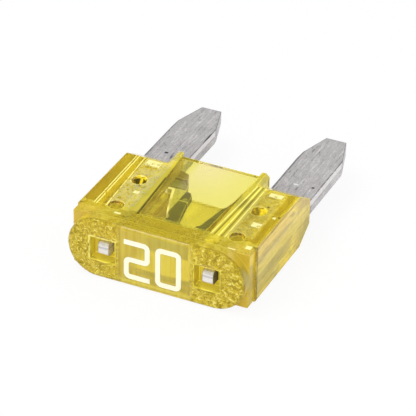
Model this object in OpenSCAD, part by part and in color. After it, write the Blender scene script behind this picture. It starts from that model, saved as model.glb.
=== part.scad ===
// Miniature automotive blade fuse, lying flat, all sizes in millimetres
// X runs across the two blades, Y from the head to the blade tips, Z up

/* [Head] */
// How far the round ends of the head stand back from each side of the body
headInset = 0.075; // [0:0.005:0.4]
// Thickness of the head
headThick = 3.7; // [3:0.05:5]
// How far the round-ended head stands in front of the collar
headDepth = 0.75; // [0.4:0.05:2]
// Rounding of the front rim of the head
headRound = 0.22; // [0.05:0.01:0.35]
// Depth of the collar behind the head
collarDepth = 0.75; // [0.4:0.05:2]
// How far the collar stands back from each side of the body
collarInset = 0.11; // [0:0.01:0.3]

/* [Test pockets] */
// Distance of each test pocket's middle from the side of the body
pocketInset = 2.28; // [2:0.01:2.6]
// Width of a test pocket
pocketWidth = 1.56; // [1:0.02:1.8]
// Height of a test pocket
pocketHeight = 1.44; // [1:0.02:2]
// Depth of a test pocket
pocketDepth = 0.7; // [0.3:0.05:1]

/* [Body] */
// Width of the body across both sides
bodyWidth = 10.9; // [9:0.05:14]
// Thickness of the body
bodyThick = 3.45; // [2.6:0.05:4]
// Distance from the head face to the blade end of the body
bodyEnd = 8.9; // [7:0.05:12]
// Length of the sloped lead-in at the blade end of each side
leadLength = 1.5; // [0.5:0.05:2.5]
// Drop of that slope on each face
leadDrop = 0.9; // [0.2:0.05:1.2]
// Rounding of the long edges of the body
edgeRound = 0.12; // [0.02:0.01:0.2]
// Thickness of the outer side walls
sideWall = 0.4; // [0.25:0.01:0.6]

/* [Window] */
// Half width of the hollow under the window at the head end
hollowNear = 2.08; // [1.6:0.02:2.4]
// Half width of the hollow at the open end
hollowFar = 2.46; // [1.8:0.02:2.6]
// Where the hollow starts, from the head face
hollowStart = 2; // [1.7:0.05:3]
// Thickness of the two window panes
paneThick = 0.42; // [0.3:0.02:0.8]
// How far the panes end before the blade end
paneSetback = 0.45; // [0.1:0.05:1]
// Half width of the middle block beside the window
blockHalf = 2.92; // [2.6:0.02:3.2]
// Chamfer on the long edges of the middle block
blockChamfer = 0.2; // [0.05:0.01:0.3]

/* [Stakes] */
// Distance of the stake marks from the side of the body
stakeInset = 1.77; // [1.5:0.01:2]
// Sideways shift of all stake marks
stakeShift = 0.27; // [-0.3:0.01:0.3]
// Distance of the deep stake marks from the head face
stakeDeepY = 5.05; // [4.4:0.05:5.6]
// Distance of the shallow stake marks from the head face
stakeShallowY = 2.15; // [1.9:0.05:2.6]
// Diameter of a stake mark at the surface
stakeDiameter = 0.95; // [0.5:0.05:1.2]
// Depth of a deep stake mark
stakeDepth = 0.4; // [0.1:0.05:0.6]
// Depth of a shallow stake mark
stakeShallow = 0.16; // [0.05:0.01:0.3]
// Narrowing of a stake mark with its depth, on each side
stakeSlope = 0.75; // [0.2:0.05:0.9]

/* [Blades] */
// Overall length from the head face to the blade tips
overallLength = 16.15; // [13:0.05:20]
// Width of a blade
bladeWidth = 2.8; // [2:0.05:3.2]
// Thickness of the blades
bladeThick = 0.8; // [0.5:0.05:1]
// Width of the taper on each side of a blade tip
tipTaperWidth = 0.77; // [0.3:0.01:1.1]
// Length of the taper at a blade tip
tipTaperLength = 2.6; // [1:0.05:4]
// Coined bevel along the long edges of the metal
coinBevel = 0.16; // [0.02:0.01:0.3]
// Gap between the body and the blade shoulders
shoulderGap = 0.05; // [0:0.01:0.3]

/* [Inner metal] */
// Distance of the strip's outer edge from the side of the body
stripInset = 1; // [0.5:0.02:1.2]
// Width of the metal strip inside each side
stripWidth = 1.6; // [1.2:0.02:2]
// Where the wide foot of the strip starts
footStart = 8.1; // [7.6:0.05:8.6]
// Width of a test tab
tabWidth = 0.66; // [0.4:0.02:1]
// Coined bevel on both faces of the end of a test tab
tabBevel = 0.14; // [0.02:0.01:0.3]
// How far a test tab ends behind the head face
tabSetback = 0.1; // [0.02:0.01:0.4]
// Distance of the peg hole near the blade end, from the side of the body
farHoleInset = 1.75; // [1.6:0.01:2]
// Distance of that hole from the head face
farHoleY = 7.45; // [7:0.05:7.6]
// Width of that hole
farHoleWidth = 0.86; // [0.3:0.02:1]
// Length of that hole
farHoleLength = 0.6; // [0.3:0.02:0.9]
// Distance of the second peg hole from the side of the body
nearHoleInset = 1.6; // [1.5:0.01:2]
// Distance of the second hole from the head face
nearHoleY = 3.75; // [3:0.05:4.4]
// Width of the second hole
nearHoleWidth = 0.6; // [0.3:0.02:0.8]
// Length of the second hole
nearHoleLength = 0.5; // [0.3:0.02:0.9]
// Where the cut tie-bar stub starts, from the head face
stubStart = 7.85; // [7.6:0.05:8.2]
// end of the stub at its free corner, from the head face
stubEnd = 8.4; // [8.3:0.05:8.6]
// how far the end of the stub slopes back
stubLean = 0.45; // [0.1:0.05:0.5]
// how much narrower the stub is at its end
stubTaper = 0.2; // [0.05:0.01:0.4]
// Distance of the stub's end from the middle
stubEdge = 1.68; // [1.4:0.02:2.4]
// Clearance around the metal at its edges
slotGap = 0.05; // [0.01:0.01:0.2]
// Chamfer along the outer corners of the slots for the metal
slotChamfer = 0.12; // [0.02:0.01:0.15]
// Clearance over and under the metal
faceGap = 0.02; // [0.01:0.01:0.1]

/* [Fuse link] */
// Thickness of the fuse link
linkThick = 0.35; // [0.15:0.05:0.6]
// Where the cross bar of the link starts, from the head face
barStart = 2.35; // [2.2:0.05:2.8]
// Width of the cross bar
barWidth = 0.8; // [0.4:0.02:1.2]
// Outer edge of the left leg, from the middle
legOuter = 1.16; // [1:0.02:1.3]
// Width of the left leg at the cross bar
legWidth = 0.9; // [0.5:0.02:1]
// Width of the left leg at its neck
neckWidth = 0.44; // [0.3:0.02:0.7]
// Distance of the neck from the head face
neckY = 5.4; // [5:0.05:5.8]
// Sideways step of the left arm out from the leg
armStep = 0.34; // [0.1:0.02:0.5]
// Lean of the left arm over its length
armLean = 0.75; // [0.4:0.05:0.9]
// Where the left arm meets the strip, from the head face
armStart = 6.95; // [6.6:0.05:7.2]
// Width of the left arm at the strip
armRoot = 0.95; // [0.5:0.05:1]
// bevel on the corner of the arm
armCorner = 0.45; // [0.1:0.05:0.6]
// Radius of the round lug beside the neck
lugRadius = 0.3; // [0.2:0.02:0.36]
// how far the lug lies outside the edge of the leg
lugShift = 0.08; // [0:0.01:0.15]
// Distance of the lug from the neck
lugAway = 1.28; // [1:0.02:1.5]
// Outer edge of the right leg, from the middle
slantOuter = 1.43; // [1.2:0.02:1.6]
// Width of the right leg at the cross bar
slantWidth = 0.78; // [0.3:0.02:1]
// Width of the right leg at its neck
slantNeck = 0.22; // [0.15:0.01:0.5]
// Distance of that neck from the head face
slantNeckY = 6.1; // [5.4:0.05:6.4]
// Width of the right arm at the strip
rightRoot = 0.75; // [0.4:0.05:1.1]

/* [Rating digits] */
// Height of the digits
digitHeight = 2.5; // [1.5:0.05:3]
// Width of the first digit
firstWidth = 1.58; // [1:0.02:1.8]
// Width of the second digit
secondWidth = 1.56; // [1:0.02:1.8]
// Gap between the digits
digitGap = 0.34; // [0.2:0.02:0.6]
// Width of the digit strokes
strokeWidth = 0.3; // [0.15:0.01:0.4]
// Outer corner radius of the digits
digitRound = 0.36; // [0.1:0.02:0.6]
// Inner corner radius of the digits
digitInnerRound = 0.1; // [0.02:0.01:0.3]
// Thickness of the printed digits
printThick = 0.04; // [0.02:0.01:0.1]
// Sideways shift of the digits
digitShift = -0.1; // [-0.4:0.02:0.4]
// Upward shift of the digits
digitRise = -0.08; // [-0.3:0.02:0.3]

/* [Hidden] */
$fn = 48;
midZ = headThick / 2;
headRadius = headThick / 2;
bodyStart = headDepth + collarDepth;
bodyHalf = bodyWidth / 2;
headHalf = bodyHalf - headInset;
pocketX = bodyHalf - pocketInset;
stakeX = bodyHalf - stakeInset;
stripOuter = bodyHalf - stripInset;
stripInner = stripOuter - stripWidth;
farHoleX = bodyHalf - farHoleInset;
nearHoleX = bodyHalf - nearHoleInset;
bodyTop = bodyThick / 2;
metalHalf = bladeThick / 2;
slotHalf = metalHalf + faceGap;
slotInner = min(hollowNear, stripInner) - slotGap;
slotOuter = bodyHalf - sideWall;
slotStart = stakeShallowY - stakeDiameter / 2;
footOuter = slotOuter - slotGap;
bladeStart = bodyEnd + shoulderGap;
bladeInner = bodyHalf - bladeWidth;
leadStart = bodyEnd - leadLength;
leadTop = bodyTop - leadDrop;
paneEnd = bodyEnd - paneSetback;
hollowTop = bodyTop - paneThick;
cutOver = 1;
stripStart = slotStart + slotGap;
joinEdge = stripInner + slotGap;
digitsWidth = firstWidth + digitGap + secondWidth;
middleBar = digitHeight / 2 + strokeWidth / 2;
centreY = (overallLength - printThick) / 2;

// Shared helpers

module alongY(from, to) {
    translate([0, to, 0])
        rotate([90, 0, 0])
            linear_extrude(to - from)
                children();
}

module alongX(half) {
    translate([-half, 0, 0])
        rotate([90, 0, 90])
            linear_extrude(2 * half)
                children();
}

module bothSides() {
    children();
    mirror([1, 0, 0])
        children();
}

module roundedRect(width, height, radius) {
    square([width - 2 * radius, height], center = true);
    square([width, height - 2 * radius], center = true);
    for (sx = [-1, 1])
        for (sz = [-1, 1])
            translate([sx * (width / 2 - radius), sz * (height / 2 - radius)])
                circle(radius);
}

// Housing, one moulding

module headRim() {
    square([headRadius - headRound, headDepth]);
    translate([0, headRound])
        square([headRadius, headDepth - headRound]);
    translate([headRadius - headRound, headRound])
        circle(headRound);
}

module headEnd() {
    rotate([-90, 0, 0])
        rotate_extrude()
            headRim();
}

module head() {
    straight = headHalf - headRadius;
    bothSides()
        translate([straight, 0, 0])
            headEnd();
    alongX(straight)
        for (face = [0, 1])
            mirror([0, face])
                mirror([1, -1])
                    headRim();
}

module collar() {
    alongY(headDepth, bodyStart)
        roundedRect(bodyWidth - 2 * collarInset, bodyThick, edgeRound);
}

module wings() {
    intersection() {
        alongY(bodyStart, bodyEnd)
            roundedRect(bodyWidth, bodyThick, edgeRound);
        alongX(bodyHalf)
            polygon([
                [bodyStart, -bodyTop], [leadStart, -bodyTop], [bodyEnd, -leadTop],
                [bodyEnd, leadTop], [leadStart, bodyTop], [bodyStart, bodyTop]
            ]);
    }
}

module middleBlock() {
    top = bodyTop - blockChamfer;
    side = blockHalf - blockChamfer;
    alongY(bodyStart, bodyEnd)
        polygon([
            [-side, -bodyTop], [side, -bodyTop], [blockHalf, -top], [blockHalf, top],
            [side, bodyTop], [-side, bodyTop], [-blockHalf, top], [-blockHalf, -top]
        ]);
}

module hollow() {
    grow = (hollowFar - hollowNear) / (bodyEnd - hollowStart);
    far = hollowFar + grow * cutOver;
    translate([0, 0, -hollowTop])
        linear_extrude(2 * hollowTop)
            polygon([
                [-hollowNear, hollowStart], [hollowNear, hollowStart],
                [far, bodyEnd + cutOver], [-far, bodyEnd + cutOver]
            ]);
}

module paneEnds() {
    translate([-hollowFar, paneEnd, -bodyTop - cutOver])
        cube([2 * hollowFar, bodyEnd - paneEnd + cutOver, bodyThick + 2 * cutOver]);
}

module barSection(from, to, halfHeight, bevel) {
    low = halfHeight - bevel;
    polygon([
        [from + bevel, -halfHeight], [to - bevel, -halfHeight], [to, -low], [to, low],
        [to - bevel, halfHeight], [from + bevel, halfHeight], [from, low], [from, -low]
    ]);
}

module slots() {
    bothSides()
        alongY(slotStart, bodyEnd + cutOver)
            barSection(slotInner, slotOuter, slotHalf, slotChamfer);
    bothSides()
        translate([pocketX - tabWidth / 2 - slotGap, pocketDepth - slotGap, -slotHalf])
            cube([tabWidth + 2 * slotGap, slotStart - pocketDepth + 2 * slotGap, 2 * slotHalf]);
}

module pockets() {
    bothSides()
        translate([pocketX - pocketWidth / 2, -cutOver, -pocketHeight / 2])
            cube([pocketWidth, pocketDepth + cutOver, pocketHeight]);
}

module stakeMark(y, depth) {
    for (side = [-1, 1])
        for (face = [0, 1])
            translate([side * stakeX + stakeShift, y, 0])
                mirror([0, 0, face])
                    translate([0, 0, bodyTop - depth]) {
                        cylinder(d1 = stakeDiameter - 2 * depth * stakeSlope, d2 = stakeDiameter,
                            h = depth);
                        translate([0, 0, depth])
                            cylinder(d = stakeDiameter, h = cutOver);
                    }
}

module peg(x, y, width, length) {
    translate([x - width / 2 + slotGap, y - length / 2 + slotGap, -slotHalf])
        cube([width - 2 * slotGap, length - 2 * slotGap, 2 * slotHalf]);
}

module pegs() {
    bothSides() {
        peg(farHoleX, farHoleY, farHoleWidth, farHoleLength);
        peg(nearHoleX, nearHoleY, nearHoleWidth, nearHoleLength);
    }
}

module housing() {
    color([0.86, 0.76, 0.2, 0.6])
        translate([0, -centreY, midZ]) {
            difference() {
                union() {
                    head();
                    collar();
                    wings();
                    middleBlock();
                }
                hollow();
                paneEnds();
                slots();
                pockets();
                stakeMark(stakeDeepY, stakeDepth);
                stakeMark(stakeShallowY, stakeShallow);
            }
            pegs();
        }
}

// Fuse element, one stamping with both blades, the test tabs and the link

module bladeOutline() {
    polygon([
        [bladeInner, bladeStart], [bodyHalf, bladeStart], [bodyHalf, overallLength - tipTaperLength],
        [bodyHalf - tipTaperWidth, overallLength], [bladeInner + tipTaperWidth, overallLength],
        [bladeInner, overallLength - tipTaperLength]
    ]);
}

module blade() {
    intersection() {
        translate([0, 0, -metalHalf])
            linear_extrude(bladeThick)
                bladeOutline();
        alongY(bladeStart, overallLength)
            barSection(bladeInner, bodyHalf, metalHalf, coinBevel);
    }
}

module pegHole(x, y, width, length) {
    translate([x - width / 2, y - length / 2, -metalHalf - cutOver])
        cube([width, length, bladeThick + 2 * cutOver]);
}

module tab() {
    flatTop = metalHalf - tabBevel;
    translate([pocketX, 0, 0])
        alongX(tabWidth / 2)
            polygon([
                [tabSetback, -flatTop], [tabSetback + tabBevel, -metalHalf],
                [stripStart + coinBevel, -metalHalf], [stripStart + coinBevel, metalHalf],
                [tabSetback + tabBevel, metalHalf], [tabSetback, flatTop]
            ]);
}

module strip() {
    difference() {
        union() {
            alongY(stripStart, bladeStart)
                barSection(stripInner, stripOuter, metalHalf, coinBevel);
            alongY(footStart, bladeStart)
                barSection(stripInner, footOuter, metalHalf, coinBevel);
            tab();
        }
        pegHole(farHoleX, farHoleY, farHoleWidth, farHoleLength);
        pegHole(nearHoleX, nearHoleY, nearHoleWidth, nearHoleLength);
    }
}

module stub() {
    translate([0, 0, -metalHalf])
        linear_extrude(bladeThick)
            polygon([
                [-joinEdge - coinBevel, stubStart], [-stubEdge, stubStart],
                [-stubEdge - stubTaper, stubEnd], [-joinEdge - coinBevel, stubEnd + stubLean]
            ]);
}

module linkOutline() {
    barEnd = barStart + barWidth;
    armTop = legOuter + armStep + armLean;
    halfStep = armStep / 2;
    legInner = legOuter + halfStep - neckWidth;
    rightStart = slantNeckY + armStep;
    polygon([
        [-joinEdge, armStart], [-armTop, armStart - halfStep], [-armTop + armStep, neckY + neckWidth],
        [-legOuter - armStep, neckY - armLean], [-legOuter, neckY - armLean - neckWidth],
        [-legOuter, barStart], [slantOuter, barStart], [slantOuter, slantNeckY],
        [slantOuter + armStep, rightStart], [joinEdge, rightStart], [joinEdge, rightStart + rightRoot],
        [slantOuter + halfStep, rightStart + armStep], [slantOuter - slantNeck, slantNeckY + halfStep],
        [slantOuter - slantWidth, barEnd], [legWidth - legOuter, barEnd], [-legInner + halfStep, neckY],
        [-legInner + halfStep / 2, neckY + neckWidth], [-legInner, neckY + lugAway],
        [-legOuter - armStep, neckY + lugAway + neckWidth],
        [-legOuter - armStep, armStart + armRoot - armCorner],
        [-legOuter - armStep - armCorner, armStart + armRoot], [-joinEdge, armStart + armRoot]
    ]);
    translate([-legOuter - lugShift, neckY + lugAway])
        circle(lugRadius);
}

module link() {
    translate([0, 0, -linkThick / 2])
        linear_extrude(linkThick)
            linkOutline();
}

module fuse_element() {
    color([0.73, 0.72, 0.72])
        translate([0, -centreY, midZ])
            union() {
                bothSides()
                    blade();
                bothSides()
                    strip();
                stub();
                link();
            }
}

// Rating digits, a thin print on the head face

module ringShape(width, height) {
    difference() {
        roundedRect(width, height, digitRound);
        roundedRect(width - 2 * strokeWidth, height - 2 * strokeWidth, digitInnerRound);
    }
}

module firstDigit() {
    lift = (digitHeight - middleBar) / 2;
    openWidth = firstWidth / 2;
    intersection() {
        union() {
            difference() {
                translate([0, lift])
                    ringShape(firstWidth, middleBar);
                translate([-firstWidth / 2 - digitRound, 0])
                    square([openWidth + digitRound, digitHeight]);
            }
            difference() {
                translate([0, -lift])
                    ringShape(firstWidth, middleBar);
                translate([0, -digitHeight])
                    square([openWidth + digitRound, digitHeight]);
            }
            translate([-firstWidth / 2, digitHeight / 2 - strokeWidth])
                square([openWidth, strokeWidth]);
            translate([0, -digitHeight / 2])
                square([openWidth, strokeWidth]);
            translate([-digitInnerRound, -strokeWidth / 2])
                square([2 * digitInnerRound, strokeWidth]);
        }
        square([firstWidth, digitHeight], center = true);
    }
}

module rating_digits() {
    color([0.98, 0.98, 0.96])
        translate([digitShift, -centreY, midZ + digitRise])
            alongY(-printThick, 0) {
                translate([-digitsWidth / 2 + firstWidth / 2, 0])
                    firstDigit();
                translate([digitsWidth / 2 - secondWidth / 2, 0])
                    ringShape(secondWidth, digitHeight);
            }
}

housing();
fuse_element();
rating_digits();
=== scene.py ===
import math

import bpy
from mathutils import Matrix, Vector

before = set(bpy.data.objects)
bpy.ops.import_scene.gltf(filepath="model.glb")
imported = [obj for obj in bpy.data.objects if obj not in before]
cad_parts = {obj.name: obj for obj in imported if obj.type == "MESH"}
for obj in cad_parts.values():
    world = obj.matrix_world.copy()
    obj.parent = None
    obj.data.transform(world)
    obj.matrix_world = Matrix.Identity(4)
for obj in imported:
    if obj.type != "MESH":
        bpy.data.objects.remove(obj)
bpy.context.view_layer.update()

mm = 0.001
black = (0, 0, 0, 1)
white = (1, 1, 1, 1)


# a socket that can be used in sums, so masks read like plain maths
class Value:
    def __init__(self, tree, socket):
        self.tree = tree
        self.socket = socket

    def maths(self, operation, *terms):
        node = self.tree.nodes.new("ShaderNodeMath")
        node.operation = operation
        for slot, term in zip(node.inputs, terms):
            plug(self.tree, slot, term)
        return Value(self.tree, node.outputs[0])

    def __add__(self, other): return self.maths("ADD", self, other)
    def __radd__(self, other): return self.maths("ADD", other, self)
    def __sub__(self, other): return self.maths("SUBTRACT", self, other)
    def __rsub__(self, other): return self.maths("SUBTRACT", other, self)
    def __mul__(self, other): return self.maths("MULTIPLY", self, other)
    def __rmul__(self, other): return self.maths("MULTIPLY", other, self)
    def __truediv__(self, other): return self.maths("DIVIDE", self, other)
    def __rtruediv__(self, other): return self.maths("DIVIDE", other, self)
    def absolute(self): return self.maths("ABSOLUTE", self)
    def sine(self): return self.maths("SINE", self)
    def root(self): return self.maths("SQRT", self)
    def least(self, other): return self.maths("MINIMUM", self, other)
    def most(self, other): return self.maths("MAXIMUM", self, other)
    def angleTo(self, other): return self.maths("ARCTAN2", self, other)

    def ramp(self, low, high):
        # 0 below low, 1 above high, smooth between
        node = self.tree.nodes.new("ShaderNodeMapRange")
        node.interpolation_type = "SMOOTHSTEP"
        node.inputs["From Min"].default_value = low
        node.inputs["From Max"].default_value = high
        plug(self.tree, node.inputs["Value"], self)
        return Value(self.tree, node.outputs["Result"])

    def fall(self, low, high):
        # 1 below low, 0 above high
        return 1 - self.ramp(low, high)

    def between(self, low, high, soft):
        # 1 from low to high, with soft ends inside them
        return self.ramp(low, low + soft) * self.fall(high - soft, high)

    def near(self, place, inner, outer):
        # 1 as far as inner from a place, 0 past outer
        return (self - place).absolute().fall(inner, outer)


def plug(tree, slot, term):
    if isinstance(term, Value):
        tree.links.new(term.socket, slot)
    else:
        slot.default_value = term


def strongest(masks):
    result = masks[0]
    for mask in masks[1:]:
        result = result.most(mask)
    return result


def distance(across, along):
    return (across * across + along * along).root()


class Finish:
    # a material, or the world, and the nodes that make it
    def __init__(self, name, world=None):
        self.material = world or bpy.data.materials.new(name)
        self.material.use_nodes = True
        self.tree = self.material.node_tree
        self.tree.nodes.clear()

    def make(self, kind, settings=None, sockets=None):
        node = self.tree.nodes.new(kind)
        for key, setting in (settings or {}).items():
            setattr(node, key, setting)
        for key, term in (sockets or {}).items():
            plug(self.tree, node.inputs[key], term)
        return node

    def value(self, kind, settings=None, sockets=None, output=0):
        return Value(self.tree, self.make(kind, settings, sockets).outputs[output])

    def place(self):
        # where the point is on the piece, in millimetres
        spot = self.value("ShaderNodeTexCoord", output="Object")
        return self.value("ShaderNodeVectorMath", {"operation": "SCALE"}, {0: spot, "Scale": 1 / mm})

    def split(self, vector):
        node = self.make("ShaderNodeSeparateXYZ", None, {0: vector})
        return [Value(self.tree, out) for out in node.outputs]

    def noise(self, vector, scale, detail=3, roughness=0.55, twist=0):
        return self.value("ShaderNodeTexNoise", None, {
            "Vector": vector,
            "Scale": scale,
            "Detail": detail,
            "Roughness": roughness,
            "Distortion": twist,
        })

    def stretch(self, vector, x, y, z):
        return self.value("ShaderNodeVectorMath", {"operation": "MULTIPLY"}, {0: vector, 1: (x, y, z)})

    def mixColour(self, factor, first, second):
        sockets = {0: factor, 6: first, 7: second}
        return self.value("ShaderNodeMix", {"data_type": "RGBA"}, sockets, output=2)

    def paint(self, colour, coats):
        # each coat has its mask and its colour, and lies over the ones before
        for mask, coat in coats:
            colour = self.mixColour(mask, colour, coat)
        return colour

    def roundEdges(self, radius):
        # the normal with rounded edges, and how far it turns there
        rounded = self.value("ShaderNodeBevel", {"samples": 8}, {"Radius": radius * mm})
        flat = self.value("ShaderNodeNewGeometry", output="Normal")
        sockets = {0: rounded, 1: flat}
        alike = self.value("ShaderNodeVectorMath", {"operation": "DOT_PRODUCT"}, sockets, output="Value")
        return rounded, 1 - alike

    def bump(self, height, strength, distance, normal=None):
        sockets = {"Height": height, "Strength": strength, "Distance": distance}
        if normal is not None:
            sockets["Normal"] = normal
        return self.value("ShaderNodeBump", None, sockets)

    def blend(self, amount, first, second):
        node = self.make("ShaderNodeMixShader", None, {0: amount})
        self.tree.links.new(first.outputs[0], node.inputs[1])
        self.tree.links.new(second.outputs[0], node.inputs[2])
        return node

    def complete(self, surface, volume=None):
        out = self.make("ShaderNodeOutputMaterial")
        self.tree.links.new(surface.outputs[0], out.inputs["Surface"])
        if volume is not None:
            self.tree.links.new(volume.outputs[0], out.inputs["Volume"])
        return self.material


class Masks:
    # where a point is on the piece, and later masks, 1 inside a region and 0 outside
    def __init__(self, net):
        self.spot = net.place()
        self.x, self.y, self.z = net.split(self.spot)


# Camera, set from the photograph

camera = {
    "place": (50.244, -111.934, 78.353),
    "target": (0, -0.555, 1.85),
    "roll": 1.245,
    "lens": 219.25,
    "sensor": 36,
    "shift": (-0.00981, -0.02014),
}


def makeCamera():
    data = bpy.data.cameras.new("camera")
    data.lens = camera["lens"]
    data.sensor_width = camera["sensor"]
    data.shift_x, data.shift_y = camera["shift"]
    data.clip_start = 0.01
    item = bpy.data.objects.new("camera", data)
    bpy.context.collection.objects.link(item)
    place = Vector(camera["place"]) * mm
    target = Vector(camera["target"]) * mm
    look = (target - place).to_track_quat("-Z", "Y").to_matrix()
    turn = look.copy()
    angle = math.radians(camera["roll"])
    for row in range(3):
        right, up = look[row][0], look[row][1]
        turn[row][0] = right * math.cos(angle) + up * math.sin(angle)
        turn[row][1] = up * math.cos(angle) - right * math.sin(angle)
    item.matrix_world = turn.to_4x4()
    item.location = place
    bpy.context.scene.camera = item
    bpy.context.scene.view_settings.view_transform = "Standard"
    print("camera set")


# Light, a white tent with soft lamps

light = {
    "skyStrength": 0.78,  # what the tent gives to matt surfaces
    "tentLow": 0.17,  # what a gloss surface sees near the table
    "tentHigh": 1.1,  # and what it sees above
    "tentRise": (0.55, 1.0),  # the tent brightens between these heights, 1 is the top
    "tentThrough": 1.5,  # the bright roof of the tent, as seen through clear plastic
    "roofRise": (0.05, 0.3),
    "floorHalf": 400,  # half the floor's side, in millimetres
    "floorDrop": 0.01,
    "floorColour": (0.86, 0.86, 0.86, 1),
    "floorShade": 0.10,  # how much of its shadow the floor keeps
    "floorGloss": 0.2,  # floor as gloss surfaces see it
    "lamps": [
        {"name": "lampAbove", "place": (-40, -30, 110), "size": 50, "power": 0.045},
        {"name": "lampBack", "place": (70, 90, 75), "size": 90, "power": 0.03},
        {"name": "lampFront", "place": (20, -120, 40), "size": 60, "power": 0.045},
    ],
}


def rayKinds(net):
    path = net.make("ShaderNodeLightPath")
    kinds = ("Is Camera Ray", "Is Glossy Ray", "Is Transmission Ray")
    return [Value(net.tree, path.outputs[kind]) for kind in kinds]


def makeLight():
    world = bpy.data.worlds.new("tent")
    bpy.context.scene.world = world
    net = Finish("tent", world)
    straight, gloss, through = rayKinds(net)
    height = net.split(net.value("ShaderNodeTexCoord", output="Generated"))[2]
    rise = height.ramp(*light["tentRise"])
    graded = light["tentLow"] + rise * (light["tentHigh"] - light["tentLow"])
    roof = 1 + height.ramp(*light["roofRise"]) * (light["tentThrough"] - 1)
    matt = (1 - gloss.most(through)) * light["skyStrength"]
    strength = straight + (1 - straight) * (through * roof + gloss * graded + matt)
    back = net.make("ShaderNodeBackground", None, {"Color": white, "Strength": strength})
    out = net.make("ShaderNodeOutputWorld")
    net.tree.links.new(back.outputs[0], out.inputs[0])
    for lamp in light["lamps"]:
        data = bpy.data.lights.new(lamp["name"], "AREA")
        data.size = lamp["size"] * mm
        data.energy = lamp["power"]
        item = bpy.data.objects.new(lamp["name"], data)
        bpy.context.collection.objects.link(item)
        item.visible_transmission = False
        item.location = Vector(lamp["place"]) * mm
        item.rotation_euler = (-item.location).to_track_quat("-Z", "Y").to_euler()
    print("light set")


def makeFloor():
    mesh = bpy.data.meshes.new("floor")
    far = light["floorHalf"] * mm
    corners = [(-far, -far, 0), (far, -far, 0), (far, far, 0), (-far, far, 0)]
    mesh.from_pydata(corners, [], [(0, 1, 2, 3)])
    item = bpy.data.objects.new("floor", mesh)
    bpy.context.collection.objects.link(item)
    item.location.z = -light["floorDrop"] * mm
    net = Finish("paleFloor")
    straight, gloss, through = rayKinds(net)
    matt = net.make("ShaderNodeBsdfDiffuse", None, {"Color": light["floorColour"]})
    glow = net.make("ShaderNodeEmission", None, {"Color": white, "Strength": 1})
    seen = strongest([straight, through, gloss * light["floorGloss"]])
    mesh.materials.append(net.complete(net.blend(seen * (1 - light["floorShade"]), matt, glow)))
    print("floor laid")


# Housing, clear yellow plastic with some haze

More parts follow.
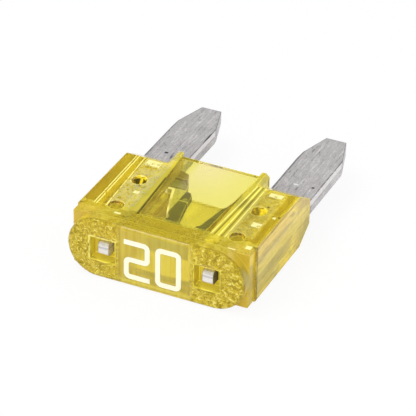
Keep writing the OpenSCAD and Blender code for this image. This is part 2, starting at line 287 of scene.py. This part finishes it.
housing = {
    # the plastic
    "clearTint": (0.95, 0.91, 0.36, 1),
    "deepTint": (0.95, 0.88, 0.0, 1),  # what thick plastic filters the light to
    "depth": 1000,
    "roughness": 0.02,
    "milkRoughness": 0.3,
    "milkGloss": 0.2,
    "index": 1.58,
    "edge": 0.09,  # rounding of the moulded edges
    "edgeGlow": 0.35,  # light that the clear plastic leads to its edges
    "reliefDepth": 0.09,
    "patterns": {  # scale, detail and roughness of the noise
        "pebble": (2.6, 4, 0.65),
        "fine": (5.5, 3, 0.65),
        "cloud": (1.6, 4, 0.6),
        "waves": (0.7, 2),
    },
    "grains": 3.4,  # grains to the millimetre in the rough texture
    "rays": 19,  # fine rays round the right pocket
    "rayBand": (1.2, 2.1),  # how far from the pocket they run
    # sizes, in millimetres
    "middle": 1.85,  # height of the mid-plane
    "top": 1.66,  # the decks lie more than this above the mid-plane
    "faceEnd": -7.95,  # the front face of the head ends here, along Y
    "headEnd": -6.55,  # where the collar ends
    "deckStart": -6.3,
    "pocket": 3.17,  # distance of the test pockets from the middle
    "pocketHalf": (0.83, 0.77),  # half width and half height of their openings
    "pocketFloor": -7.3,
    "plateHalf": (2.0, 2.4),  # the smooth plate between the pockets fades out here
    "windowHalf": 2.35,  # half width of the clear window
    "windowStart": -6.0,
    "windowEnd": 0.8,
    "chamberWalls": (2.0, 2.5),  # the side walls of the hollow under the window lie between these
    "chamberHalf": 1.29,  # half height of that hollow
    "barEnds": (3.0, 3.5),  # outer edges of the ridges beside the window, left and right
    "barTop": 1.4,  # the ridges lie more than this above the mid-plane
    "stepEnds": (-7.9, -6.0),  # the deck between the face and the window, along Y
    "sideStart": 5.3,
    "slotWall": 5.05,  # outer wall of the slots that hold the metal
    "slotHalf": 0.4,  # half height of the slots
    # the painted sheen of the strips is shifted this far across, to where they show from the camera
    "stripMiddle": 0.4,
    "strip": (2.85, 4.45),  # the metal strips lie under this part of the deck
    "pitRadius": 0.36,
    "ring": (0.41, 0.56),  # inner and outer radius of the raised ring round a stake mark
    "stakes": (  # place, and how deep
        (3.95, -3.005, 0.4),
        (-3.41, -3.005, 1.0),
        (3.95, -5.905, 0.25),
        (-3.41, -5.905, 0.4),
    ),
    "nicks": ((5.25, -3.15), (4.27, -2.42)),  # small dents on the right side of the deck
    "patches": (  # painted highlights; left, right, near, far
        (-3.2, -2.7, -6.78, -6.52),
        (-3.95, -2.95, -1.42, -0.72),
        (3.75, 4.65, -1.4, -0.9),
        (4.1, 4.75, -4.65, -4.1),
        (-3.2, -2.75, -4.45, -4.05),
        (4.75, 5.2, -6.85, -6.4),
        (4.88, 5.15, -3.45, -3.15),
        (3.9, 4.45, -7.22, -7.02),
    ),
    "seams": (  # painted highlights, fine bright lines along the body, place across and lean
        (-4.72, -0.016),
        (-4.56, -0.016),
        (-4.22, -0.054),
        (2.87, 0.055),
        (3.08, 0.014),
        (3.38, 0.003),
    ),
    "darkSeams": ((2.97, 0.04), (3.22, 0.008)),  # painted shade, dark lines on the right ridge
    "wallLine": (-2.283, -0.056),  # where the left wall of the hollow meets the pane, painted as a dark line of shade
    "corner": (5.1, -6.48),  # painted shade, a dark line at the corners behind the collar
    # how milky each place is, the films are laid over the haze of the head, wings and window
    "wingHaze": 0.10,
    "headHaze": 0.36,
    "windowHaze": 0.01,
    "roughHaze": 0.32,
    "films": {
        "edges": 0.6,
        "pits": 0.9,
        "pocketWalls": 0.7,
        "patches": 0.8,
        "seams": 0.85,
        "darkSeams": 0.85,
        "step": 0.4,
        "bloom": 0.28,
        "plate": 0.56,
        "bars": 0.42,
        "wallLine": 0.9,
        "roundEnds": 0.5,
        "corners": 0.8,
        "rim": 0.8,
    },
    # colours of the milky places
    "hazeLight": (1.0, 0.89, 0.10, 1),
    "hazeDark": (0.70, 0.55, 0.01, 1),
    "gold": (0.98, 0.78, 0.06, 1),
    "speck": (0.60, 0.45, 0.01, 1),
    "crease": (0.30, 0.22, 0.0, 1),
    "pit": (0.04, 0.03, 0.0, 1),
    "pale": (0.98, 0.90, 0.22, 1),
    "paler": (1.0, 0.96, 0.42, 1),
    "sideDark": (0.68, 0.54, 0.05, 1),
    "sideLight": (0.86, 0.72, 0.11, 1),
    "sideWarm": (0.79, 0.62, 0.19, 1),
    "plateLow": (0.64, 0.50, 0.05, 1),
    "plateHigh": (0.73, 0.60, 0.08, 1),
    # painted light on the walls of the pockets
    "pocketLitTone": (0.92, 0.76, 0.07, 1),
    "endTint": (0.84, 0.65, 0.07, 1),
    "step": (0.56, 0.48, 0.02, 1),
    "cream": (1.0, 0.84, 0.66, 1),  # painted light on the far part of the window
    # pale for painted highlights, and for bright grit
    "highlightAndGrit": (1.0, 0.93, 0.26, 1),
    "darkLine": (0.19, 0.15, 0.01, 1),
    # painted shade in the hollow under the window
    "wallEdge": (0.08, 0.065, 0.002, 1),
    "wallLow": (0.38, 0.225, 0.026, 1),
    "wallHigh": (0.45, 0.40, 0.10, 1),
}


def headMasks(net, on):
    x, y, side, up = on.x, on.y, on.side, on.up
    on.face = y.fall(housing["faceEnd"], housing["faceEnd"] + 0.15)
    # crumpled texture round the test pockets, with fine rays at the right one
    across = side - housing["pocket"]
    fromPocket = distance(across, up)
    on.rough = fromPocket.ramp(0.8, 0.95) * side.ramp(*housing["plateHalf"]) * on.face
    rays = (up.angleTo(across) * housing["rays"]).sine() * fromPocket.between(*housing["rayBand"], 0.2)
    rays = rays * x.ramp(0, 0.2)
    on.crumbs = on.fine + rays * 0.05
    on.grains = net.noise(on.spot, housing["grains"], 2, 0.6, 2.2) + rays * 0.07
    on.sparkle = on.grains.ramp(0.40, 0.74)
    on.creases = on.grains.fall(0.37, 0.46) * on.rough
    on.glints = on.grains.ramp(0.60, 0.66) * on.rough * 0.8
    wide, high = housing["pocketHalf"]
    opening = across.absolute().fall(wide - 0.03, wide + 0.02)
    opening = opening * up.absolute().fall(high - 0.03, high + 0.02)
    on.pocketWalls = opening * y.fall(housing["pocketFloor"], housing["pocketFloor"] + 0.1)
    # lit rim at the left and the top of the left pocket
    fromLeft = x + housing["pocket"]
    rimLeft = fromLeft.near(-wide, 0.03, 0.07) * up.absolute().fall(high - 0.01, high + 0.03)
    rimTop = up.near(high, 0.03, 0.07) * fromLeft.absolute().fall(wide - 0.03, wide + 0.03)
    on.rim = rimLeft.most(rimTop) * on.face * on.pebble.ramp(0.3, 0.42)
    # the plate between the pockets is even, with faint draw lines
    on.plate = on.face * side.fall(*housing["plateHalf"]) * on.front
    on.draw = net.noise(net.stretch(on.spot, 3.2, 0, 0.2), 1.2, 3, 0.6)
    # round ends of the head, and painted shade at the corners behind the collar
    on.roundEnds = side.ramp(3.6, 4.4) * y.fall(-6.6, -6.5) * (1 - on.face)
    cornerX, cornerY = housing["corner"]
    on.corners = side.ramp(cornerX, cornerX + 0.1) * y.near(cornerY, 0.03, 0.1)


def stakeMasks(on):
    # stake marks: painted shade in the pit, a painted highlight on the raised ring round it, and a lit line
    # down its middle
    pits, rings = [], []
    low, high = housing["ring"]
    for stakeX, stakeY, depth in housing["stakes"]:
        fromStake = on.x - stakeX
        behind = on.y - stakeY
        reach = distance(fromStake, behind)
        besideLine = fromStake.absolute().ramp(0.02, 0.12) * behind.ramp(-0.12, 0.05)
        pit = reach.fall(housing["pitRadius"], housing["pitRadius"] + 0.06) * depth
        pits.append(pit * besideLine * on.front)
        ring = reach.ramp(low, low + 0.04) * reach.fall(high - 0.06, high)
        ring = ring * (1 - behind.ramp(-0.1, 0.4) * 0.7) * on.top
        rings.append(ring * (0.45 + 0.55 * depth) * on.pebble.ramp(0.36, 0.5))
    # the small dents get painted shade too
    for nickX, nickY in housing["nicks"]:
        dent = distance(on.x - nickX, on.y - nickY).fall(0.05, 0.12)
        pits.append(dent * on.top * on.front)
    on.pits = strongest(pits)
    on.rings = strongest(rings)


def fineLines(x, y, places, width):
    # each has its place across and its lean
    return strongest([(x - y * lean).near(across, width * 0.3, width) for across, lean in places])


def deckMasks(on):
    x, y, side = on.x, on.y, on.side
    # painted highlights, pale patches where the pegs go through the metal and glints on the deck
    patches = [x.between(left, right, 0.08) * y.between(near, far, 0.08) * on.top
               for left, right, near, far in housing["patches"]]
    on.patches = strongest(patches) * on.pebble.ramp(0.3, 0.44)
    past = y.ramp(housing["deckStart"], housing["deckStart"] + 0.1)
    deck = on.top * past
    # painted highlights and painted lines of shade on the deck
    on.seams = fineLines(x, y, housing["seams"], 0.06) * deck * on.pebble.ramp(0.3, 0.42)
    on.darkSeams = fineLines(x, y, housing["darkSeams"], 0.075) * deck * on.pebble.ramp(0.2, 0.36)
    # painted shade along the line where the left wall of the hollow meets the pane
    on.wallLine = fineLines(x, y, [housing["wallLine"]], 0.11) * deck
    on.wallLine = on.wallLine * y.fall(-2.2, -1.9) * on.pebble.ramp(0.2, 0.35)
    # the ridges beside the window are milky as far as the wall of the hollow
    wallX, lean = housing["wallLine"]
    pastWall = (x - y * lean - wallX).fall(-0.08, 0)
    left, right = housing["barEnds"]
    on.bars = side.ramp(housing["windowHalf"], housing["windowHalf"] + 0.15).most(pastWall)
    on.bars = on.bars * x.fall(right, right + 0.1) * (0 - x).fall(left, left + 0.1)
    on.bars = on.bars * on.up.absolute().ramp(housing["barTop"], housing["barTop"] + 0.1) * past
    # painted sheen where the metal strips lie under the deck
    start = housing["windowStart"]
    fromMiddle = (x - housing["stripMiddle"]).absolute()
    on.strips = fromMiddle.between(*housing["strip"], 0.05) * y.ramp(start, start + 0.3) * on.top
    # the deck between the window and the head is darker in the middle
    on.step = on.top * y.between(*housing["stepEnds"], 0.1)
    on.darkStep = on.step * side.fall(2.2, 2.6)
    # painted light, pale on the far part of the pane
    on.bloom = on.window * on.top * y.ramp(-4.2, 0.4) * x.ramp(-1.4, -0.8) * x.fall(-0.6, 2.6)


def bodyMasks(net, on):
    y, side, up = on.y, on.side, on.up
    # streaks along the sides of the body
    on.sides = side.ramp(housing["sideStart"], housing["sideStart"] + 0.1) * y.ramp(-6.5, -6.4)
    on.streak = net.noise(net.stretch(on.spot, 0, 0.3, 4.2), 1.0, 3, 0.6)
    # the side walls of the window chamber look brown through the pane, painted as shade
    inWindow = y.ramp(housing["windowStart"] - 0.1, housing["windowStart"])
    half, end = housing["chamberHalf"], housing["windowEnd"]
    on.chamber = side.between(*housing["chamberWalls"], 0.06) * up.absolute().fall(half, half + 0.02)
    on.chamber = on.chamber * y.fall(end - 0.1, end) * inWindow
    # lit outer walls of the slots
    half = housing["slotHalf"]
    on.slots = side.near(housing["slotWall"], 0.02, 0.05) * up.absolute().fall(half, half + 0.05) * inWindow


def housingMasks(net):
    on = Masks(net)
    on.side = on.x.absolute()
    on.up = on.z - housing["middle"]
    on.top = on.up.absolute().ramp(housing["top"], housing["top"] + 0.04)
    on.front = 1 - net.value("ShaderNodeNewGeometry", output="Backfacing")
    on.right = on.x.ramp(-0.1, 0.1)
    on.head = on.y.fall(housing["headEnd"] - 0.15, housing["headEnd"] + 0.15)
    half, start = housing["windowHalf"], housing["windowStart"]
    on.window = on.side.fall(half - 0.12, half + 0.12) * on.y.ramp(start - 0.15, start + 0.15)
    for name, pattern in housing["patterns"].items():
        setattr(on, name, net.noise(on.spot, *pattern))
    headMasks(net, on)
    stakeMasks(on)
    deckMasks(on)
    bodyMasks(net, on)
    return on


def milkAmount(on):
    # how much of the surface is milky, the rest is clear
    wing = housing["wingHaze"]
    haze = wing + on.head * (housing["headHaze"] - wing) + on.window * (housing["windowHaze"] - wing)
    haze = haze * (0.7 + on.cloud * 0.6) + on.rough * (housing["roughHaze"] + on.creases * 0.4)
    films = [getattr(on, name) * amount for name, amount in housing["films"].items()]
    films.append(on.chamber * (0.65 - on.right * 0.5))
    films.append(on.strips * (0.28 - on.right * 0.06 + on.pebble * 0.15))
    films.append(on.sides * (0.36 + on.streak * 0.3))
    return strongest([haze] + films)


def milkColour(net, on):
    # the colours of the milky film, painted from the base up
    offEdges = 1 - on.edges
    tone = (on.cloud * 0.5 + on.pebble * 0.5).ramp(0.4, 0.6)
    # painted edge highlights and painted light on the pocket walls lighten the tone, the painted shade of
    # the pits darkens it
    tone = strongest([tone + on.rough * (on.sparkle - tone), on.edges, on.pocketWalls]) * (1 - on.pits)
    base = net.mixColour(tone.most(on.bars), housing["hazeDark"], housing["hazeLight"])
    flank = net.mixColour(on.up.ramp(-0.6, 0.6), housing["sideLight"], housing["sideWarm"])
    flank = net.mixColour((on.streak + on.up * 0.03).ramp(0.3, 0.58), housing["sideDark"], flank)
    strip = net.mixColour(on.right, housing["paler"], housing["pale"])
    plate = net.mixColour(on.draw.ramp(0.35, 0.6), housing["plateLow"], housing["plateHigh"])
    # painted shade on the walls of the hollow, near black at their top
    wall = net.mixColour((on.up * 0.4 + on.fine).ramp(0.3, 0.7), housing["wallLow"], housing["wallHigh"])
    wall = net.mixColour(on.up.ramp(1.08, 1.16), wall, housing["pit"])
    grit = strongest([on.step * (0.12 + on.side.ramp(0, 2) * 0.2), on.strips * 0.4, on.sides * 0.15])
    grit = grit * offEdges * (1 - on.patches)
    return net.paint(base, (
        (on.roundEnds * offEdges, housing["endTint"]),
        (on.rough * 0.4, housing["gold"]),
        (on.rough * (1 - on.sparkle), housing["speck"]),
        (on.sides, flank),
        # painted sheen over the strips
        (on.strips * on.fine.ramp(0.42, 0.52), strip),
        (on.plate, plate),
        (on.creases, housing["crease"]),
        (on.glints.most(on.rim), housing["highlightAndGrit"]),
        (on.patches, housing["paler"]),
        (on.seams, housing["highlightAndGrit"]),
        (on.darkSeams, housing["darkLine"]),
        (on.darkStep, housing["step"]),
        # painted light on the pocket walls
        (on.pocketWalls * (1 - on.edges * 0.7), housing["pocketLitTone"]),
        (grit * on.grains.ramp(0.54, 0.62), housing["highlightAndGrit"]),
        (grit * on.grains.fall(0.38, 0.46), housing["darkLine"]),
        # painted light on the far pane
        (on.bloom.ramp(0, 0.1) * offEdges, housing["cream"]),
        # painted shade: the line at the wall of the hollow, the corners behind the collar, the walls of the
        # hollow and the pits
        (on.wallLine, housing["wallEdge"]),
        (on.corners, housing["darkLine"]),
        (on.chamber, wall),
        (on.pits, housing["pit"]),
    ))


def clearPlastic():
    net = Finish("clearYellowPlastic")
    on = housingMasks(net)
    relief = (1 - on.window * 0.9) * (on.waves * 0.35 + on.fine * 0.08)
    relief = relief + on.rough * (on.pebble + on.crumbs * 1.6)
    rounded, turned = net.roundEdges(housing["edge"])
    normal = net.bump(relief, 1.0, housing["reliefDepth"] * mm, rounded)
    # painted highlight and painted glow on the moulded edges, apart from those of the chamber and at the
    # corners
    on.edges = turned.ramp(0.01, 0.09) * (1 - on.chamber) * (1 - on.corners) * (1 - on.roundEnds * 0.6)
    on.edges = strongest([on.edges, on.rings, on.slots])
    clear = net.make("ShaderNodeBsdfPrincipled", None, {
        "Base Color": housing["clearTint"],
        "Roughness": housing["roughness"],
        "IOR": housing["index"],
        "Transmission Weight": 1.0,
        "Normal": normal,
    })
    milky = net.make("ShaderNodeBsdfPrincipled", None, {
        "Base Color": milkColour(net, on),
        "Roughness": housing["milkRoughness"],
        "IOR": housing["index"],
        "Specular IOR Level": housing["milkGloss"],
        "Normal": normal,
        # painted glow on the edges
        "Emission Color": net.mixColour(on.edges * housing["edgeGlow"], black, housing["hazeLight"]),
        "Emission Strength": 1.0,
    })
    depth = net.make("ShaderNodeVolumeAbsorption", None, {
        "Color": housing["deepTint"],
        "Density": housing["depth"],
    })
    return net.complete(net.blend(milkAmount(on), clear, milky), depth)


# Fuse element, stamped zinc

element = {
    # sizes, in millimetres
    "bladeStart": 0.8,  # the blades come out of the plastic here, along Y
    "tabEnd": -7.0,  # the test tabs reach from the face of the head to here
    "tabLine": 1.95,  # height of the line across the tabs
    "linkHalf": 2.6,  # half width of the link
    "edge": 0.085,  # rounded edges, whose mask carries painted edge highlights
    "creases": (2.83, 5.27),  # where the coined edges begin, marked with painted lines of shade
    "marks": (  # place across and along, size, how much wider than long, tone; the white mark is a painted glint, the long dark one painted shade along a coined crease
        (-4.3, 2.36, 0.11, 1.4, (0.01, 0.01, 0.01, 1)),
        (4.89, 2.58, 0.1, 1.2, (0.02, 0.02, 0.02, 1)),
        (-2.84, 5.0, 0.7, 0.08, (0.04, 0.04, 0.04, 1)),
        (3.87, 2.5, 0.09, 2.4, (1, 1, 1, 1)),
    ),
    "bandEdge": -1.38,  # right edge of the lit left arm of the link
    "foldPlace": -2.07,  # the lit fold across that arm
    "whiteStem": -2.49,  # the white line beside the arm, and the bar across its end
    "whiteBar": -1.13,
    "eye": (-1.08, -1.86),  # round eye at the top of the left leg
    "eyeRadius": 0.1,
    "metallic": 0.4,
    "roughness": 0.5,
    "reliefDepth": 0.08,
    # colours
    "light": (0.86, 0.83, 0.83, 1),
    "mid": (0.56, 0.54, 0.54, 1),
    "dark": (0.13, 0.12, 0.13, 1),
    "bright": (0.95, 0.93, 0.88, 1),
    "inside": (0.72, 0.72, 0.68, 1),  # clean plating under the plastic
    "shadow": (0.12, 0.10, 0.04, 1),
    "link": (0.03, 0.04, 0.015, 1),  # bare alloy of the fuse link, darkened to near black as painted shade
    "band": (0.80, 0.86, 1.0, 1),  # the lit left side of the link
    "bandLow": (0.42, 0.46, 0.62, 1),
    "stub": (0.26, 0.19, 0.05, 1),
    "glint": (0.5, 0.5, 1.0, 1),
    "tabEdge": (0.44, 0.36, 0.14, 1),  # worn rim of the test tabs
}


def linkColour(net, on):
    # the left side of the link is bent up and catches the light, painted as a lit band, the stub above it
    # is brown, and the rest of the link is painted near black as shade
    x, y = on.x, on.y
    border = element["bandEdge"] + y.fall(-4.4, -3.3) * 0.24
    arm = (x - border).fall(-0.05, 0.05) * y.ramp(-4.5, -4.3) + y.ramp(-1.05, -0.9)
    fold = y.near(element["foldPlace"], 0, 0.1) * x.fall(-0.8, -0.7)
    lit = arm.most(fold).least(1)
    left = x.fall(-1.0, 0)
    eyeX, eyeY = element["eye"]
    eye = distance(x - eyeX, y - eyeY).fall(element["eyeRadius"], element["eyeRadius"] + 0.07)
    band = net.mixColour(on.grit.ramp(0.32, 0.5), element["bandLow"], element["band"])
    return net.paint(element["link"], (
        (lit * x.fall(-0.5, 0), band),
        (y.ramp(-1.0, -0.95) * left, element["link"]),
        (y.ramp(-0.95, -0.85) * left * (0.5 + on.grit * 0.5), element["bandLow"]),
        (y.ramp(-0.3, -0.2) * left, element["stub"]),
        (eye * 0.8, element["bandLow"]),
    ))


def zincMasks(net):
    on = Masks(net)
    x, y = on.x, on.y
    # rolled lines, grit, pits and blotches of the plating
    on.lines = net.noise(net.stretch(on.spot, 8, 0.6, 8), 1.1, 6, 0.8)
    on.grit = net.noise(net.stretch(on.spot, 2.2, 1.2, 2.2), 3.6, 5, 0.75)
    on.pits = net.noise(net.stretch(on.spot, 2.4, 0.8, 2.4), 2.2, 4, 0.8).ramp(0.62, 0.68)
    on.worn = on.lines * 0.6 + on.grit * 0.25 + net.noise(on.spot, 0.8, 3) * 0.15
    # blades outside the plastic, strips and link within it, tabs in the pockets
    bladeStart, tabEnd, linkHalf = element["bladeStart"], element["tabEnd"], element["linkHalf"]
    on.blades = y.ramp(bladeStart, bladeStart + 0.1)
    on.tabs = y.fall(tabEnd - 0.2, tabEnd)
    on.covered = (1 - on.blades) * (1 - on.tabs)
    on.link = x.absolute().fall(linkHalf, linkHalf + 0.3) * (1 - on.blades)
    # white line along the left edge of the link, fainter in its middle
    stem = (x + y * 0.3).near(element["whiteStem"], 0.05, 0.09) * y.ramp(-3.9, -3.6) * y.fall(-1.2, -1.1)
    faded = y.ramp(-3.0, -2.8) * y.fall(-2.2, -2.0)
    bar = y.near(element["whiteBar"], 0.06, 0.1) * x.fall(-2.15, -2.05)
    on.shine = (stem * (1 - faded * 0.7)).most(bar) * on.link
    # how far the surface faces right, and how far it faces the middle
    on.facing = net.split(net.value("ShaderNodeNewGeometry", output="Normal"))[0]
    on.inward = 0 - on.facing * x
    return on


def zincCoats(net, on):
    x, y = on.x, on.y
    coats = [
        (on.worn.ramp(0.50, 0.60), element["light"]),
        (on.pits * 0.7, element["dark"]),
        (on.covered * 0.75, element["inside"]),
        (on.tabs * (0.45 + on.grit * 0.3), element["bright"]),
        (on.tabs * on.z.near(element["tabLine"], 0.03, 0.1), element["mid"]),
        (on.link, linkColour(net, on)),
        # inside the plastic the strips are bright at their far ends, their side faces carry a painted
        # highlight, and the top of their inner faces a painted shadow
        (y.ramp(-0.35, -0.15) * on.covered * (1 - on.link), element["bright"]),
        (on.inward.absolute().ramp(1.2, 1.8) * on.covered, element["bright"]),
        (on.inward.ramp(1.2, 1.8) * on.z.ramp(2.08, 2.12) * on.covered, element["shadow"]),
        # painted shade on the outer side of the right tab
        ((0 - on.inward).ramp(1.2, 1.8) * on.tabs * x.ramp(-0.1, 0), element["dark"]),
        (on.shine, element["bright"]),
        # coined edges: a painted highlight on those facing right, painted shade on those facing left
        (on.facing.ramp(0.3, 0.5) * on.facing.fall(0.9, 0.95) * on.blades * 0.8, element["light"]),
        ((0 - on.facing).ramp(0.3, 0.5) * on.blades * 0.7, element["dark"]),
    ]
    # painted shade along the creases where the coined edges begin
    for crease in element["creases"]:
        line = x.absolute().near(crease, 0.015, 0.05)
        coats.append((line * on.blades * on.grit.ramp(0.42, 0.52) * 0.8, element["dark"]))
    # dark dots on the blades, a painted glint and a painted line of shade
    for markX, markY, size, wide, tone in element["marks"]:
        away = distance((x - markX) / wide, y - markY)
        coats.append((away.fall(size * 0.6, size), tone))
    return coats


def stampedZinc():
    net = Finish("stampedZinc")
    on = zincMasks(net)
    rounded, turned = net.roundEdges(element["edge"])
    edges = turned.ramp(0.02, 0.08)
    edgeStreaks = edges * on.lines.ramp(0.38, 0.46).most(on.link)
    colour = net.mixColour(on.worn.ramp(0.38, 0.46), element["dark"], element["mid"])
    colour = net.paint(colour, zincCoats(net, on))
    # painted highlights on the rounded edges inside the plastic, a brown rim on the tabs, the rounded edges
    # of the blades darker
    colour = net.paint(colour, (
        (edgeStreaks * (1 - on.blades) * (1 - on.tabs) * 0.8, element["bright"]),
        (edges * on.tabs * 0.85, element["tabEdge"]),
        (edgeStreaks * on.blades * 0.85, element["dark"]),
    ))
    return net.complete(net.make("ShaderNodeBsdfPrincipled", None, {
        "Base Color": colour,
        "Emission Color": net.mixColour(on.shine, black, element["glint"]),
        "Emission Strength": 1.0,
        "Metallic": (1 - on.covered) * element["metallic"],
        "Roughness": element["roughness"] - on.worn.ramp(0.4, 0.6) * 0.15,
        "Normal": net.bump(on.worn, 1.0, element["reliefDepth"] * mm, rounded),
    }))


# Rating digits, white print

digits = {
    "shade": (0.83, 0.82, 0.62, 1),
    "white": (0.88, 0.87, 0.68, 1),
    "speckScale": 6,
    "roughness": 0.5,
}


def whitePrint():
    net = Finish("whitePrint")
    speck = net.noise(net.place(), digits["speckScale"], 3)
    return net.complete(net.make("ShaderNodeBsdfPrincipled", None, {
        "Base Color": net.mixColour(speck.ramp(0.3, 0.7), digits["shade"], digits["white"]),
        "Roughness": digits["roughness"],
        "Normal": net.bump(speck, 0.2, 0.01 * mm),
    }))


def dress(name, material):
    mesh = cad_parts[name].data
    mesh.materials.clear()
    mesh.materials.append(material)
    for face in mesh.polygons:
        face.material_index = 0
    print(name, "dressed")


makeCamera()
makeLight()
makeFloor()
dress("housing", clearPlastic())
dress("fuse_element", stampedZinc())
dress("rating_digits", whitePrint())
